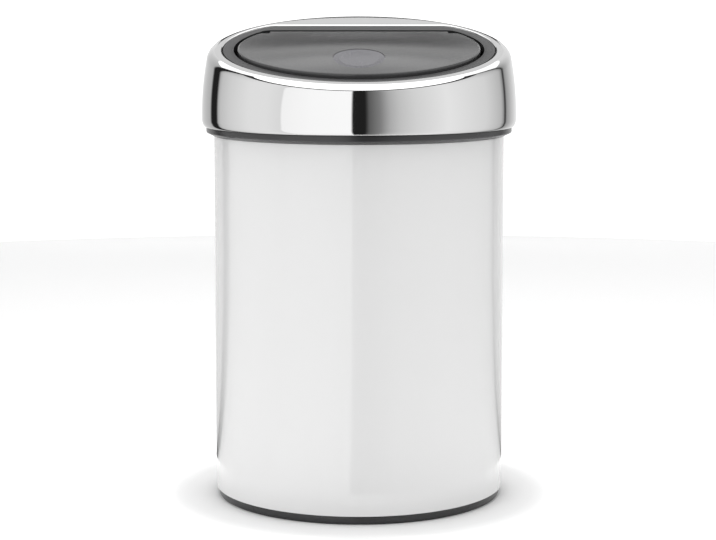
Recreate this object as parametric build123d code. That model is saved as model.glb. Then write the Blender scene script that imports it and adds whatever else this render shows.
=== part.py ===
"""Push top countertop bin: enamelled steel body, lift-out bucket, lift-off lid unit with a push-to-open lid.

Frame: +Z up, origin at the centre of the base ring's underside, -Y to the front, hinge at +Y.
All lengths are in millimetres. The lid unit's top is a sloping plane, so its pieces are drawn in the
ring frame: X across, Y up the slope to the hinge, Z square to the slope, Z = 0 on the steel ring's top.
The lid itself is drawn in the lid frame, which has its origin on the hinge axis.
"""
from build123d import *
from math import cos, radians, sin, sqrt
import os

# ---------------------------------------------------------------- body
BODY_R = 84.0              # outer radius of the steel tube
SHELL_T = 0.8              # sheet thickness of the tube and its bottom
BODY_TOP = 210.0           # height of the tube's upper rim
BASE_H = 4.9               # height of the plastic base ring below the tube
BASE_SETBACK = 1.7         # the base ring stands this far inside the tube
BASE_W = 5.3               # radial width of the base ring's foot
BASE_EDGE_R = 0.9          # rounding of the base ring's outer lower edge
BOTTOM_HEM_W = 4.5         # hem turned in at the tube's bottom
TOP_HEM_W = 2.0            # hem turned in at the tube's rim
RIM_EDGE_R = 0.35          # rounding of the tube's upper and lower edges
SPIGOT_H = 0.7             # base ring's locating spigot inside the bottom hem
BOTTOM_RISE = 2.8          # the bottom plate's centre is pressed up by this much
BOTTOM_LAND_W = 13.0       # flat rim of the bottom plate, outside the pressed centre
BOTTOM_SLOPE_W = 4.0       # width of the slope up to the pressed centre

# ---------------------------------------------------------------- bucket and its handle
BUCKET_DROP = 17.0         # bucket's rim below the tube's rim
BUCKET_WALL = 1.5
BUCKET_ROOM = 10.0         # tube's outside to the bucket's wall, at the rim
BUCKET_TAPER = 6.5         # the wall runs in by this much towards the bottom
BUCKET_CORNER_R = 4.0      # rounding between the bucket's wall and floor
BEAD_W = 1.7               # bead that stands out from the wall at the rim
BEAD_H = 2.4
BAIL_WIRE = 3.0            # handle wire diameter
BAIL_DROP = 4.6            # handle pivot below the bucket's rim
BAIL_BEND_R = 2.0          # bend between the pivot end and the hoop
BAIL_RIM_GAP = 0.9         # handle hoop outside the bead
BAIL_HOOK = 2.2            # pivot end inside the bucket's wall
EAR_W = 9.0                # ear on each side of the bucket
EAR_STANDOFF = 0.5         # ear's outer face inside the wire's bend
REST_W = 16.0              # ledge under the handle, at the front
REST_T = 1.6

# ---------------------------------------------------------------- lid unit: collar, steel ring, frame
COLLAR_H = 4.9             # visible height of the dark collar between tube and steel ring
COLLAR_WEB = 2.9           # thickness of the collar's web
COLLAR_FOOT = 0.3          # collar's lower lip outside the tube
SKIRT_DEPTH = 8.0          # skirt inside the tube, below the rim
SKIRT_T = 2.1
COLLAR_SPIGOT_T = 2.6      # upstand of the collar inside the steel ring
COLLAR_SPIGOT_H = 8.0
RING_OVERHANG = 6.9        # steel ring at its widest, outside the tube
RING_LEAN = 4.1            # the ring's wall runs in by this much to the sloping top
RING_T = 0.9               # sheet thickness of the steel ring
RING_MID_H = 45.5          # height of the ring on the bin's axis
RING_STRAIGHT_H = 7.0      # straight wall above the ring's lower edge
RING_HEM_R = 2.5           # rolled lower edge
RING_EDGE_R = 6.5          # rounding from the wall to the sloping top
SLOPE = 12.1               # slope of the ring's top, degrees
RING_MARGIN = 8.0          # opening's round edge inside the top of the ring's wall
OPENING_CUT = 20.6         # opening's straight rear edge, inside its circle
OPENING_CORNER_R = 9.0
LIP_W = 1.8                # rolled lip round the opening
LIP_DEPTH = 3.5
LIP_EDGE_R = 1.3
FRAME_RECESS = 0.5         # frame's top below the ring's top
FRAME_BAND = 6.1           # visible width of the frame round the lid
REAR_STRIP = 11.6          # visible width of the frame behind the lid
FRAME_PLATE_T = 2.4        # frame's plate under the ring's lip
FRAME_SKIRT_GAP = 0.6      # collar's upstand to the frame's outer skirt
FRAME_SKIRT_T = 2.0
THROAT_T = 2.5             # wall round the throat
THROAT_DEPTH = 22.0        # lower edge of the throat wall below the ring's top
THROAT_CORNER_R = 7.0

# ---------------------------------------------------------------- lid
LID_GAP = 2.2              # lid to frame, at the sides and front
LID_DEPTH = 6.5            # height of the lid's side wall
LID_WALL = 2.0
LID_CROWN = 6.0            # how far the lid's top bulges over its rim
LID_RISE = 1.3             # the lid's rim rises to the front by this angle, degrees
LID_EDGE_R = 1.2           # rounding of the lid's upper edge
LID_INSET = 2.2            # the crown starts this far inside the lid's edge
LID_CORNER_R = 2.0         # lid's corners at the hinge
HINGE_NOTCH = 4.7          # the lid is cut back to the barrel's length this far ahead of its axis
HINGE_SINK = 0.3           # top of the hinge barrel below the ring's top
BARREL_R = 4.3             # hinge barrel along the lid's rear edge
BARREL_INSET = 3.6         # barrel's end inside the lid's side wall
BARREL_GAP = 0.5           # barrel to the frame's straight rear wall
AXLE_R = 1.5
AXLE_HOLD = 5.2            # length of the axle's ends inside the frame
AXLE_BOSS_R = 3.8          # frame's bosses round the axle's ends
AXLE_BOSS_END = 1.0        # boss wall past the axle's end
LINER_T = 1.2
SCREW_R = 1.1              # liner screws
SCREW_HEAD_R = 2.1
SCREW_HEAD_H = 1.2
SCREW_L = 6.0
SCREW_BOSS_R = 2.8
SCREW_INSET_REAR = 25.2    # rear pair of liner screws, sideways from the lid's widest
SCREW_INSET_FRONT = 34.2
SCREW_BACK = 14.0          # rear pair, in front of the hinge axis
SCREW_FRONT = 29.7         # front pair, behind the lid's front edge
SPOT_R = 14.4              # round touch spot
SPOT_BACK = 21.2           # its centre, behind the lid's front edge
SPOT_T = 1.0
SPOT_DISH = 0.25           # the spot lies this far below the lid's top

# ---------------------------------------------------------------- torsion springs at the hinge
TORSION_INSET = 22.0       # middle of each spring, inside the barrel's end
TORSION_WIRE_R = 0.5
TORSION_COIL_R = 3.1       # mean radius of the coil
TORSION_TURNS = 6
TORSION_PITCH = 1.25
TORSION_LEG = 14.0         # leg under the lid

# ---------------------------------------------------------------- push latch at the front
LATCH_BACK = 8.9           # latch's middle, behind the throat's front wall
LATCH_TOP = 8.0            # latch housing's top below the ring's top
LATCH_HALF_W = 10.0
LATCH_HALF_D = 5.8
LATCH_WALL = 1.2
LATCH_PUSH = 2.2           # slider's travel past the locked place
LATCH_RISE = 3.0           # slider's travel from locked to released
JAW_TOP = 4.0              # top of the jaws below the housing's top
JAW_LIP_T = 1.5
JAW_LIP_HALF = 2.5         # half the space between the jaws' lips
JAW_ARM_HALF = 4.6         # half the space between the jaws' arms
JAW_T = 1.6
JAW_W = 3.0                # jaw's width, front to back
JAW_EYE_R = 1.7
JAW_PIN_R = 0.8
JAW_PIN_DROP = 1.9         # pivots below the slider's floor
SLIDER_T = 7.0
STRIKER_STEM_W = 2.0
STRIKER_HEAD_W = 6.4
STRIKER_HEAD_H = 2.5
STRIKER_D = 3.0            # front to back
STRIKER_BASE_T = 1.6
STRIKER_BASE_HALF = 7.0
NECK_ROOM = 0.9            # jaws' lips to the striker's head, past the slider's push
SPRING_WIRE_R = 0.3
SPRING_COIL_R = 1.9        # mean radius of the latch spring
SPRING_BORE_R = 2.6
SPRING_BORE_DEPTH = 5.0
SPRING_TURNS = 5
CAM_WIRE_R = 0.4
CAM_SLOT_HALF = 1.6
CAM_SLOT_DEPTH = 1.4
CAM_SLOT_ROOF = 1.0
LATCH_EAR = 5.5            # fixing ears beyond the housing's sides
LATCH_EAR_H = 8.0
LATCH_EAR_T = 2.4
LATCH_EAR_DROP = 6.0       # ears below the housing's top
FIX_SCREW_R = 1.3
FIX_HEAD_R = 2.4
FIX_HEAD_H = 1.4
FIX_SCREW_L = 6.5

# ---------------------------------------------------------------- clearances
FIT = 0.05                 # pin in its hole, on the radius
SEAT = 0.1                 # fixed pieces side by side
SLIP = 0.3                 # pieces that slide past one another
CLEAR = 0.4                # pieces that pass one another with room
REACH = 20.0               # how far a cutting tool runs past what it cuts
PATCH_STEPS = 12           # points along each side of the crown's surface
RING_SECTIONS = 7          # sections through the steel ring's wall

# ---------------------------------------------------------------- places that follow from the sizes
TUBE_IN_R = BODY_R - SHELL_T
BASE_R = BODY_R - BASE_SETBACK
BOTTOM_HEM_R = BODY_R - BOTTOM_HEM_W
TOP_HEM_R = BODY_R - TOP_HEM_W
PLATE_Z = BASE_H + SHELL_T
FLOOR_Z = PLATE_Z + SHELL_T + BOTTOM_RISE
BUCKET_TOP = BODY_TOP - BUCKET_DROP
BUCKET_TOP_R = BODY_R - BUCKET_ROOM
BUCKET_BASE_R = BUCKET_TOP_R - BUCKET_TAPER
BAIL_Z = BUCKET_TOP - BAIL_DROP
BEAD_R = BUCKET_TOP_R + BEAD_W
BAIL_R = BEAD_R + BAIL_RIM_GAP + BAIL_WIRE / 2
SKIRT_R = TOP_HEM_R - SLIP
COLLAR_TOP = BODY_TOP + COLLAR_H
RING_R = BODY_R + RING_OVERHANG
RING_TOP_R = RING_R - RING_LEAN
COLLAR_R = RING_R - RING_HEM_R
COLLAR_SPIGOT_R = COLLAR_R - RING_T - SLIP
FRAME_SKIRT_R = COLLAR_SPIGOT_R - COLLAR_SPIGOT_T - FRAME_SKIRT_GAP
OPENING_R = RING_TOP_R - RING_MARGIN
OPENING_CHORD = OPENING_R - OPENING_CUT
LID_Z = COLLAR_TOP + RING_MID_H
THROAT_R = OPENING_R - SLIP - FRAME_BAND
THROAT_CHORD = OPENING_CHORD - SLIP - REAR_STRIP
PLATE_TOP = -LIP_DEPTH - SEAT
AXLE_Y = THROAT_CHORD - BARREL_GAP - BARREL_R
AXLE_DEPTH = HINGE_SINK + BARREL_R
LID_R = THROAT_R - LID_GAP
CROWN_R = LID_R - LID_INSET
AXLE_HALF = sqrt(THROAT_R ** 2 - AXLE_Y ** 2) + AXLE_HOLD
BARREL_HALF = sqrt(LID_R ** 2 - AXLE_Y ** 2) - BARREL_INSET
TORSION_AT = BARREL_HALF - TORSION_INSET
SPOT_AT = LID_R - SPOT_BACK
LATCH_AT = THROAT_R - LATCH_BACK
LID_BOTTOM = BARREL_R - LID_DEPTH
LINER_TOP = LID_BOTTOM + LINER_T
JAW_PIN_X = JAW_ARM_HALF + JAW_T / 2
CAVITY_HALF_W = LATCH_HALF_W - LATCH_WALL
CAVITY_HALF_D = LATCH_HALF_D - LATCH_WALL
LIP_UNDER = -LATCH_TOP - JAW_TOP - JAW_LIP_T
STRIKER_SHOULDER = LIP_UNDER - LATCH_PUSH - NECK_ROOM
STRIKER_TIP = STRIKER_SHOULDER - STRIKER_HEAD_H
SLIDER_TOP = STRIKER_TIP - LATCH_PUSH - LATCH_RISE - CLEAR
SLIDER_BOTTOM = SLIDER_TOP - SLIDER_T
JAW_PIN_Z = SLIDER_TOP - JAW_PIN_DROP
LATCH_FLOOR = SLIDER_BOTTOM - LATCH_PUSH - CLEAR
LATCH_BOTTOM = LATCH_FLOOR - LATCH_WALL
BRACKET_Y = -LATCH_AT - LATCH_HALF_D
EAR_Z = -LATCH_TOP - LATCH_EAR_DROP - LATCH_EAR_H / 2
FIX_X = LATCH_HALF_W + LATCH_EAR / 2

RING_FRAME = Location((0, 0, LID_Z), (SLOPE, 0, 0))
LID_FRAME = RING_FRAME * Pos(0, AXLE_Y, -AXLE_DEPTH) * Rot(-LID_RISE, 0, 0)
LATCH_FRAME = RING_FRAME * Pos(0, -LATCH_AT, 0)
ALONG_X = Rot(0, 90, 0)
ALONG_Y = Rot(-90, 0, 0)


# ---------------------------------------------------------------- shared shapes
def turned(*points):
    """Solid of revolution about Z from a closed outline of (radius, height) points."""
    outline = Plane.XZ * make_face(Polyline(*points, close=True))
    return revolve(outline, Axis.Z)


def tube(outer, inner, low, high):
    return turned((inner, low), (outer, low), (outer, high), (inner, high))


def bar(axis_turn, radius, start, end):
    """Round bar whose local Z runs along the turned axis, from start to end."""
    length = end - start
    return axis_turn * Pos(0, 0, start + length / 2) * Cylinder(radius, length)


def block(x, y, z):
    """Box from three (low, high) pairs."""
    size = [high - low for low, high in (x, y, z)]
    middle = [(low + high) / 2 for low, high in (x, y, z)]
    return Pos(*middle) * Box(*size)


def d_prism(radius, chord, corner, low, high, centre=0.0):
    """Upright prism on a circle cut off by a straight rear edge, with rounded rear corners."""
    disc = Pos(0, centre) * Circle(radius)
    behind = Pos(0, centre + chord + radius) * Rectangle(3 * radius, 2 * radius)
    outline = disc - behind
    if corner > 0:
        outline = fillet(outline.vertices().sort_by(Axis.Y)[-2:], corner)
    return Pos(0, 0, low) * extrude(outline, high - low)


def both_sides(shape):
    return [shape, mirror(shape, Plane.YZ)]


def save(name, placement, *shapes):
    """Write one node, as a compound where it holds several like pieces."""
    solids = [piece for shape in shapes for piece in shape.solids()]
    placed = [placement * piece for piece in solids]
    node = placed[0] if len(placed) == 1 else Compound(placed)
    node.label = name
    export_step(node, f"parts/{name}.step")


# ---------------------------------------------------------------- body
def body_shell():
    wall = tube(BODY_R, TUBE_IN_R, BASE_H, BODY_TOP)
    wall += tube(BODY_R, BOTTOM_HEM_R, BASE_H, PLATE_Z)
    wall += tube(BODY_R, TOP_HEM_R, BODY_TOP - SHELL_T, BODY_TOP)
    rims = wall.edges().filter_by(GeomType.CIRCLE).filter_by(lambda rim: rim.radius > TUBE_IN_R + SHELL_T / 2)
    return fillet(rims, RIM_EDGE_R)


def base_ring():
    inner = BASE_R - BASE_W
    foot = tube(BASE_R, inner, 0, BASE_H)
    foot = fillet(foot.edges().group_by(Axis.Z)[0].sort_by(SortBy.RADIUS)[-1:], BASE_EDGE_R)
    return foot + tube(BOTTOM_HEM_R - SEAT, inner, BASE_H - SEAT, BASE_H + SPIGOT_H - SEAT)


def bottom_plate():
    outer = TUBE_IN_R - SEAT
    land = outer - BOTTOM_LAND_W
    raised = land - BOTTOM_SLOPE_W
    low, high = PLATE_Z, PLATE_Z + BOTTOM_RISE
    return turned((0, high), (raised, high), (land, low), (outer, low), (outer, low + SHELL_T),
                  (land, low + SHELL_T), (raised, high + SHELL_T), (0, high + SHELL_T))


# ---------------------------------------------------------------- bucket
def inner_bucket():
    outside = turned((0, FLOOR_Z), (BUCKET_BASE_R, FLOOR_Z), (BUCKET_TOP_R, BUCKET_TOP), (0, BUCKET_TOP))
    outside = fillet(outside.edges().group_by(Axis.Z)[0], BUCKET_CORNER_R)
    outside += tube(BEAD_R, BUCKET_TOP_R - BUCKET_WALL, BUCKET_TOP - BEAD_H, BUCKET_TOP)
    ear_out = BAIL_R - BAIL_BEND_R - EAR_STANDOFF
    ear = block((BUCKET_BASE_R, ear_out), (-EAR_W / 2, EAR_W / 2), (BAIL_Z - EAR_W / 2, BUCKET_TOP - BEAD_H))
    for piece in both_sides(ear):
        outside += piece
    rest_top = BAIL_Z - BAIL_WIRE / 2
    outside += block((-REST_W / 2, REST_W / 2), (-BAIL_R, -BUCKET_BASE_R), (rest_top - REST_T, rest_top))
    floor = FLOOR_Z + BUCKET_WALL
    hollow = turned((0, floor), (BUCKET_BASE_R - BUCKET_WALL, floor),
                    (BUCKET_TOP_R - BUCKET_WALL, BUCKET_TOP), (0, BUCKET_TOP))
    hollow = fillet(hollow.edges().group_by(Axis.Z)[0], BUCKET_CORNER_R - BUCKET_WALL)
    pivots = Pos(0, 0, BAIL_Z) * bar(ALONG_X, BAIL_WIRE / 2 + FIT, -BAIL_R, BAIL_R)
    return outside - hollow - pivots


def bucket_handle():
    """Wire hoop lying round the front of the rim, with its ends turned in through the ears."""
    hook = BUCKET_TOP_R - BUCKET_WALL - BAIL_HOOK
    bend_x = sqrt((BAIL_R - BAIL_BEND_R) ** 2 - BAIL_BEND_R ** 2)
    scale = BAIL_R / (BAIL_R - BAIL_BEND_R)
    hoop_end = Vector(bend_x * scale, -BAIL_BEND_R * scale)
    straight = Line((hook, 0), (bend_x, 0))
    bend = TangentArc((bend_x, 0), hoop_end, tangent=(1, 0))
    hoop = ThreePointArc(hoop_end, (0, -BAIL_R), (-hoop_end.X, hoop_end.Y))
    path = straight + bend + hoop + mirror(bend, Plane.YZ) + mirror(straight, Plane.YZ)
    section = Plane(origin=(hook, 0, 0), z_dir=(1, 0, 0)) * Circle(BAIL_WIRE / 2)
    return Pos(0, 0, BAIL_Z) * sweep(section, path)


# ---------------------------------------------------------------- steel ring, collar and frame
def ring_blank(inset, bottom, hem):
    """Solid up to the steel ring's outer skin, moved inwards by inset."""
    sections = []
    for step in range(RING_SECTIONS):
        share = step / (RING_SECTIONS - 1)
        height = COLLAR_TOP + RING_STRAIGHT_H + (RING_MID_H - RING_STRAIGHT_H) * share
        radius = RING_R - (RING_R - RING_TOP_R) * share ** 2 - inset
        lean = SLOPE * share
        place = Location((0, 0, height), (lean, 0, 0))
        sections.append(place * Ellipse(radius, radius / cos(radians(lean))))
    wall = loft(sections)
    wall += Pos(0, 0, bottom) * extrude(Circle(RING_R - inset), COLLAR_TOP + RING_STRAIGHT_H - bottom)
    wall = fillet(wall.edges().group_by(Axis.Z)[0], hem)
    top = RING_FRAME * block((-RING_R * 2, RING_R * 2), (-RING_R * 2, RING_R * 2), (-inset, REACH * 2))
    wall -= top
    brim = wall.faces().filter_by(GeomType.PLANE).sort_by(Axis.Z)[-1].edges()
    return fillet(brim, RING_EDGE_R - inset)


def opening(grow, low, high):
    return RING_FRAME * d_prism(OPENING_R + grow, OPENING_CHORD + grow, OPENING_CORNER_R + grow, low, high)


def steel_ring():
    skin = ring_blank(0, COLLAR_TOP, RING_HEM_R)
    skin -= ring_blank(RING_T, COLLAR_TOP + RING_T, RING_HEM_R - RING_T)
    skin -= tube(COLLAR_R - RING_T, 0, COLLAR_TOP - REACH, COLLAR_TOP + RING_T * 2)
    skin += opening(LIP_W, -LIP_DEPTH, -RING_T / 2)
    skin -= opening(0, -REACH, REACH)
    return fillet([edge for edge in skin.edges() if on_opening_edge(edge)], LIP_EDGE_R)


def on_opening_edge(edge):
    """True for the edges where the opening's wall meets the ring's sloping top."""
    middle = (RING_FRAME.inverse() * Pos(*(edge @ 0.5))).position
    reach = sqrt(middle.X ** 2 + middle.Y ** 2)
    return abs(middle.Z) < SEAT / 10 and reach < OPENING_R + SEAT and middle.Y < OPENING_CHORD + SEAT


def collar_ring():
    foot = BODY_R + COLLAR_FOOT
    inner = SKIRT_R - SKIRT_T
    web = COLLAR_TOP - COLLAR_WEB
    spigot = COLLAR_SPIGOT_R
    return turned((inner, BODY_TOP - SKIRT_DEPTH), (SKIRT_R, BODY_TOP - SKIRT_DEPTH), (SKIRT_R, BODY_TOP),
                  (foot, BODY_TOP), (COLLAR_R, web), (COLLAR_R, COLLAR_TOP), (spigot, COLLAR_TOP),
                  (spigot, COLLAR_TOP + COLLAR_SPIGOT_H),
                  (spigot - COLLAR_SPIGOT_T, COLLAR_TOP + COLLAR_SPIGOT_H),
                  (spigot - COLLAR_SPIGOT_T, COLLAR_TOP), (inner, COLLAR_TOP))


def throat(grow, low, high):
    return d_prism(THROAT_R + grow, THROAT_CHORD + grow, THROAT_CORNER_R + grow, low, high)


def lid_frame():
    """Black moulding: band round the lid, plate under the ring, throat, outer skirt, latch bracket."""
    band = d_prism(OPENING_R - SLIP, OPENING_CHORD - SLIP, OPENING_CORNER_R - SLIP, PLATE_TOP, -FRAME_RECESS)
    plate_low = PLATE_TOP - FRAME_PLATE_T
    inside_ring = RING_FRAME.inverse() * tube(FRAME_SKIRT_R, 0, COLLAR_TOP, COLLAR_TOP + RING_MID_H * 2)
    plate = inside_ring & block((-RING_R, RING_R), (-RING_R, RING_R), (plate_low, PLATE_TOP))
    skirt = RING_FRAME.inverse() * tube(FRAME_SKIRT_R, FRAME_SKIRT_R - FRAME_SKIRT_T, COLLAR_TOP,
                                        COLLAR_TOP + RING_MID_H * 2)
    skirt -= block((-RING_R * 2, RING_R * 2), (-RING_R * 2, RING_R * 2), (plate_low, RING_R * 2))
    walls = band + plate + skirt + throat(THROAT_T, -THROAT_DEPTH, plate_low)
    boss_start = AXLE_HALF - AXLE_HOLD
    boss = Pos(0, AXLE_Y, -AXLE_DEPTH) * bar(ALONG_X, AXLE_BOSS_R, boss_start, AXLE_HALF + AXLE_BOSS_END)
    boss -= block((0, RING_R), (0, RING_R), (PLATE_TOP, 0))
    for piece in both_sides(boss):
        walls += piece
    walls -= throat(0, -REACH * 2, REACH)
    walls -= Pos(0, AXLE_Y, -AXLE_DEPTH) * bar(ALONG_X, AXLE_R + FIT, -AXLE_HALF, AXLE_HALF)
    half = LATCH_HALF_W + LATCH_EAR
    bracket = block((-half, half), (-THROAT_R - THROAT_T / 2, BRACKET_Y), (LATCH_BOTTOM, -LATCH_TOP))
    walls += bracket
    for side in (-1, 1):
        walls -= Pos(side * FIX_X, 0, EAR_Z) * bar(ALONG_Y, FIX_SCREW_R + SEAT, BRACKET_Y - FIX_SCREW_L, BRACKET_Y)
    return walls


# ---------------------------------------------------------------- hinge
def hinge_axle():
    return Pos(0, AXLE_Y, -AXLE_DEPTH) * bar(ALONG_X, AXLE_R, -AXLE_HALF, AXLE_HALF)


def coil(radius, wire_r, pitch, height, leg_in=0.0, leg_out=0.0):
    """Round wire coiled about Z, with straight legs that run on from its ends."""
    turns = Helix(pitch, height, radius)
    path = [turns.edge()]
    if leg_in > 0:
        path.insert(0, Edge.make_line(turns @ 0 - turns % 0 * leg_in, turns @ 0))
    if leg_out > 0:
        path.append(Edge.make_line(turns @ 1, turns @ 1 + turns % 1 * leg_out))
    route = Wire(path)
    section = Plane(origin=route @ 0, z_dir=route % 0) * Circle(wire_r)
    return sweep(section, route, is_frenet=True)


def torsion_spring():
    """Spring on the axle, one leg forward under the lid and one back to the frame's wall."""
    height = TORSION_PITCH * TORSION_TURNS
    wall = THROAT_CHORD - AXLE_Y - SEAT * 2
    spring = coil(TORSION_COIL_R, TORSION_WIRE_R, TORSION_PITCH, height, TORSION_LEG, wall)
    return Pos(TORSION_AT - height / 2, AXLE_Y, -AXLE_DEPTH) * ALONG_X * spring


# ---------------------------------------------------------------- lid
def crown_height(x, y):
    """Bulge of the lid's top: zero on the rim circle and on the hinge line. y is from the bin's axis."""
    peak_y = (AXLE_Y - sqrt(AXLE_Y ** 2 + 3 * CROWN_R ** 2)) / 3
    peak = (CROWN_R ** 2 - peak_y ** 2) * (AXLE_Y - peak_y)
    return LID_CROWN * (CROWN_R ** 2 - x ** 2 - y ** 2) * (AXLE_Y - y) / peak


def under_crown(drop):
    """Everything under the lid's top surface, with the surface lowered by drop."""
    edge = LID_R + LID_GAP
    rows = []
    for i in range(PATCH_STEPS + 1):
        x = edge * (2 * i / PATCH_STEPS - 1)
        row = []
        for j in range(PATCH_STEPS + 1):
            y = -edge + (AXLE_Y + LID_GAP + edge) * j / PATCH_STEPS
            row.append(Vector(x, y - AXLE_Y, BARREL_R - drop + crown_height(x, y)))
        rows.append(row)
    surface = Face.make_surface_from_array_of_points(rows, tol=SEAT / 100)
    return Solid.extrude(surface, Vector(0, 0, -REACH * 2))


def lid_outline(inset, rear, low, high):
    """Prism on the lid's outline, moved in by inset, ending at rear from the hinge axis."""
    return d_prism(LID_R - inset, AXLE_Y + rear, LID_CORNER_R, low, high, centre=-AXLE_Y)


def screw_places():
    rear = (LID_R - SCREW_INSET_REAR, -SCREW_BACK)
    front = (LID_R - SCREW_INSET_FRONT, SCREW_FRONT - LID_R - AXLE_Y)
    return [(side * x, y) for x, y in (rear, front) for side in (1, -1)]


def hinge_notches(wall=0.0):
    """Room outside the barrel's ends for the frame's rear corners as the lid swings, grown by wall."""
    return both_sides(block((BARREL_HALF - wall, LID_R), (-HINGE_NOTCH - wall, REACH), (-REACH, REACH)))


def lid_panel():
    top = under_crown(0)
    panel = lid_outline(0, 0, LID_BOTTOM, REACH) & top
    rim = [edge for edge in panel.edges() if edge.length > LID_R and (edge @ 0.5).Z > LINER_TOP]
    panel = fillet(rim, LID_EDGE_R)
    hollow = lid_outline(LID_WALL, -BARREL_R, LID_BOTTOM - REACH, REACH) & under_crown(LID_WALL)
    for notch, kept in zip(hinge_notches(), hinge_notches(LID_WALL)):
        panel -= notch
        hollow -= kept
    panel += bar(ALONG_X, BARREL_R, -BARREL_HALF, BARREL_HALF)
    panel -= hollow
    for x, y in screw_places():
        panel += Pos(x, y) * extrude_up(SCREW_BOSS_R, LINER_TOP) & under_crown(LID_WALL / 2)
        panel -= Pos(x, y) * extrude_up(SCREW_R + SEAT, LINER_TOP, LINER_TOP + SCREW_L - LINER_T)
    panel -= bar(ALONG_X, AXLE_R + FIT, -LID_R, LID_R)
    for window in both_sides(spring_window()):
        panel -= window
    spot = Pos(0, -SPOT_AT - AXLE_Y) * extrude_up(SPOT_R + SEAT, 0)
    return panel - (spot - under_crown(SPOT_T + SPOT_DISH + SEAT))


def extrude_up(radius, low, high=REACH):
    return Pos(0, 0, low) * extrude(Circle(radius), high - low)


def spring_window():
    """Space for a torsion spring inside the barrel, open below and behind."""
    half = TORSION_PITCH * TORSION_TURNS / 2 + TORSION_WIRE_R + CLEAR * 2
    low, high = TORSION_AT - half, TORSION_AT + half
    window = bar(ALONG_X, TORSION_COIL_R + TORSION_WIRE_R + SLIP, low, high)
    window += block((low, high), (-BARREL_R - SEAT, BARREL_R + SEAT), (-REACH, 0))
    return window + block((low, high), (TORSION_COIL_R - TORSION_WIRE_R, BARREL_R + SEAT), (-REACH, REACH))


def lid_liner():
    """Flat cover under the lid, with the striker's slot and countersunk screw holes."""
    plate = lid_outline(LID_WALL + SEAT, -BARREL_R - SEAT, LID_BOTTOM, LINER_TOP)
    for corner in hinge_notches(LID_WALL + SEAT):
        plate -= corner
    for x, y in screw_places():
        plate -= Pos(x, y) * extrude_up(SCREW_R + SEAT, LID_BOTTOM - SEAT)
    half = STRIKER_HEAD_W / 2 + SEAT
    depth = STRIKER_D / 2 + SEAT
    slot = block((-half, half), (-depth, depth), (-REACH, REACH))
    return plate - Pos(0, -LATCH_AT - AXLE_Y) * slot


def liner_screws():
    screws = []
    for x, y in screw_places():
        shank = extrude_up(SCREW_R, LID_BOTTOM, LID_BOTTOM + SCREW_L)
        head = extrude_up(SCREW_HEAD_R, LID_BOTTOM - SCREW_HEAD_H, LID_BOTTOM)
        head = fillet(head.edges().group_by(Axis.Z)[0], SCREW_HEAD_H / 2)
        recess = extrude_up(SCREW_HEAD_R / 2, LID_BOTTOM - SCREW_HEAD_H * 2, LID_BOTTOM - SCREW_HEAD_H / 2)
        screws.append(Pos(x, y) * (shank + head - recess))
    return screws


def touch_disc():
    column = Pos(0, -SPOT_AT - AXLE_Y) * extrude_up(SPOT_R, 0)
    return (column & under_crown(SPOT_DISH)) - under_crown(SPOT_DISH + SPOT_T)


def lid_height(ring_z):
    """Height in the lid frame of a height in the ring frame, at the striker."""
    hinge_to_striker = AXLE_Y + LATCH_AT
    return ring_z + AXLE_DEPTH - hinge_to_striker * sin(radians(LID_RISE))


def striker():
    """Arrow head on a stem that hangs through the liner, held by the base plate above it."""
    shoulder = lid_height(STRIKER_SHOULDER)
    tip = lid_height(STRIKER_TIP)
    stem = STRIKER_STEM_W / 2
    head = STRIKER_HEAD_W / 2
    base_top = LINER_TOP + STRIKER_BASE_T
    base = STRIKER_BASE_HALF
    half = [(stem, tip), (head, shoulder - STRIKER_HEAD_H / 2), (head, shoulder), (stem, shoulder),
            (stem, LINER_TOP), (base, LINER_TOP), (base, base_top)]
    outline = half + [(-x, z) for x, z in reversed(half)]
    face = Plane.XZ * make_face(Polyline(*outline, close=True))
    solid = extrude(face, STRIKER_D / 2, both=True)
    return Pos(0, -LATCH_AT - AXLE_Y) * solid


# ---------------------------------------------------------------- push latch, drawn about its middle
def latch_housing():
    half_w, half_d = LATCH_HALF_W, LATCH_HALF_D
    box = block((-half_w, half_w), (-half_d, CAVITY_HALF_D), (LATCH_BOTTOM, -LATCH_TOP))
    box -= block((-CAVITY_HALF_W, CAVITY_HALF_W), (-CAVITY_HALF_D, REACH), (LATCH_FLOOR, 0))
    ear = block((CAVITY_HALF_W, half_w + LATCH_EAR), (-half_d, LATCH_EAR_T - half_d),
                (EAR_Z - LATCH_EAR_H / 2, EAR_Z + LATCH_EAR_H / 2))
    for piece in both_sides(ear):
        box += piece
    for side in (-1, 1):
        box -= Pos(side * FIX_X, 0, EAR_Z) * bar(ALONG_Y, FIX_SCREW_R + SEAT, -LATCH_HALF_D * 2, 0)
    return box - Pos(0, cam_y(), 0) * extrude_up(CAM_WIRE_R + FIT, LATCH_BOTTOM - SEAT, LATCH_FLOOR + SEAT)


def latch_cover():
    return block((-LATCH_HALF_W, LATCH_HALF_W), (CAVITY_HALF_D, LATCH_HALF_D), (LATCH_BOTTOM, -LATCH_TOP))


def latch_screws():
    screws = []
    seat = LATCH_EAR_T - LATCH_HALF_D
    for side in (-1, 1):
        shank = bar(ALONG_Y, FIX_SCREW_R, seat - LATCH_EAR_T - FIX_SCREW_L + SEAT, seat)
        head = bar(ALONG_Y, FIX_HEAD_R, seat, seat + FIX_HEAD_H)
        recess = bar(ALONG_Y, FIX_HEAD_R / 2, seat + FIX_HEAD_H / 2, seat + FIX_HEAD_H * 2)
        screws.append(Pos(side * FIX_X, 0, EAR_Z) * (shank + head - recess))
    return screws


def cam_y():
    return -CAVITY_HALF_D + SLIP + CAM_SLOT_DEPTH / 2


def cam_follower():
    top = SLIDER_TOP - CAM_SLOT_ROOF - LATCH_PUSH - CLEAR
    return Pos(0, cam_y(), 0) * extrude_up(CAM_WIRE_R, LATCH_BOTTOM, top)


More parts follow.
